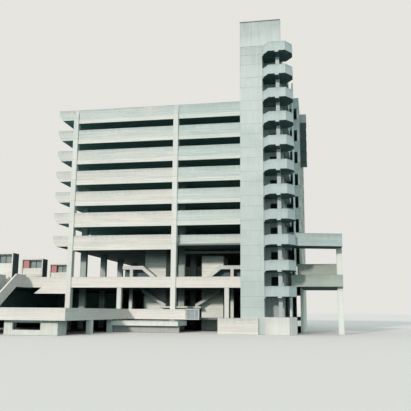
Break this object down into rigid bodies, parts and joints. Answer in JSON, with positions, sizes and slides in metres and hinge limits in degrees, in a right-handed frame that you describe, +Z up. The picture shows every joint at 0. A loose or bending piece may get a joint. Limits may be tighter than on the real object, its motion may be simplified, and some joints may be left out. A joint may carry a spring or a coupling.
{
  "type": "scale model of a multi storey car park",
  "caption": "Concrete multi storey car park with long deck parapets, an open podium storey, a terrace stair and a tall tower with octagonal stair landings.",
  "frame": {"origin": "foot of the middle front column, at the lowest ground that a wall or column stands on", "axes": "+X right along the front, +Y back into the building, +Z up"},
  "size_m": [22.6, 25.65, 17.85],
  "materials": {
    "facade_concrete": "board-marked cast concrete, pale and stained",
    "tower_concrete": "board-marked cast concrete with day joints, slightly greenish",
    "landing_concrete": "weathered cast concrete",
    "low_wall_concrete": "board-marked cast concrete, less stained",
    "deck_concrete": "floated concrete",
    "window_glass": "grey-green window glass",
    "red_panel": "faded red paint",
    "dark_metal": "dark painted sheet"
  },
  "bodies": {
    "root": {"back_columns": "facade_concrete", "back_parapets": "facade_concrete", "balcony_rail": "facade_concrete", "bridge_pier": "facade_concrete", "core_stair_landings": "deck_concrete", "deck_1": "deck_concrete", "deck_2": "deck_concrete", "deck_3": "deck_concrete", "deck_4": "deck_concrete", "deck_5": "deck_concrete", "deck_6": "deck_concrete", "east_duct": "dark_metal", "east_end_wall": "facade_concrete", "east_terrace_walls": "low_wall_concrete", "forecourt_slab": "deck_concrete", "front_columns": "facade_concrete", "front_low_wall": "low_wall_concrete", "front_parapets_left_bay": "facade_concrete", "front_parapets_right_bay": "facade_concrete", "inner_columns": "facade_concrete", "landing_base": "landing_concrete", "landing_pier": "landing_concrete", "left_core": "facade_concrete", "left_end_parapets": "facade_concrete", "left_flight": "deck_concrete", "link_walkways": "landing_concrete", "low_terrace_parapets": "low_wall_concrete", "lower_floor": "deck_concrete", "lower_storey_walls": "facade_concrete", "open_storey_back_wall": "facade_concrete", "outside_stair": "deck_concrete", "outside_stair_parapets": "low_wall_concrete", "podium_front_parapets": "low_wall_concrete", "podium_slab": "deck_concrete", "recessed_parapet": "facade_concrete", "right_core": "facade_concrete", "right_flight": "deck_concrete", "right_wing_parapets": "facade_concrete", "roof_deck": "deck_concrete", "stair_landings": "landing_concrete", "terrace_parapets": "low_wall_concrete", "terrace_window_boxes": "low_wall_concrete", "tower_door_jambs": "tower_concrete", "tower_door_lintels": "tower_concrete", "tower_head": "tower_concrete", "tower_shaft": "tower_concrete", "undercroft_piers": "facade_concrete", "undercroft_walls": "facade_concrete", "upper_bridge": "low_wall_concrete", "window_box_glazing": "window_glass", "window_box_panels": "red_panel"}
  },
  "joints": []
}
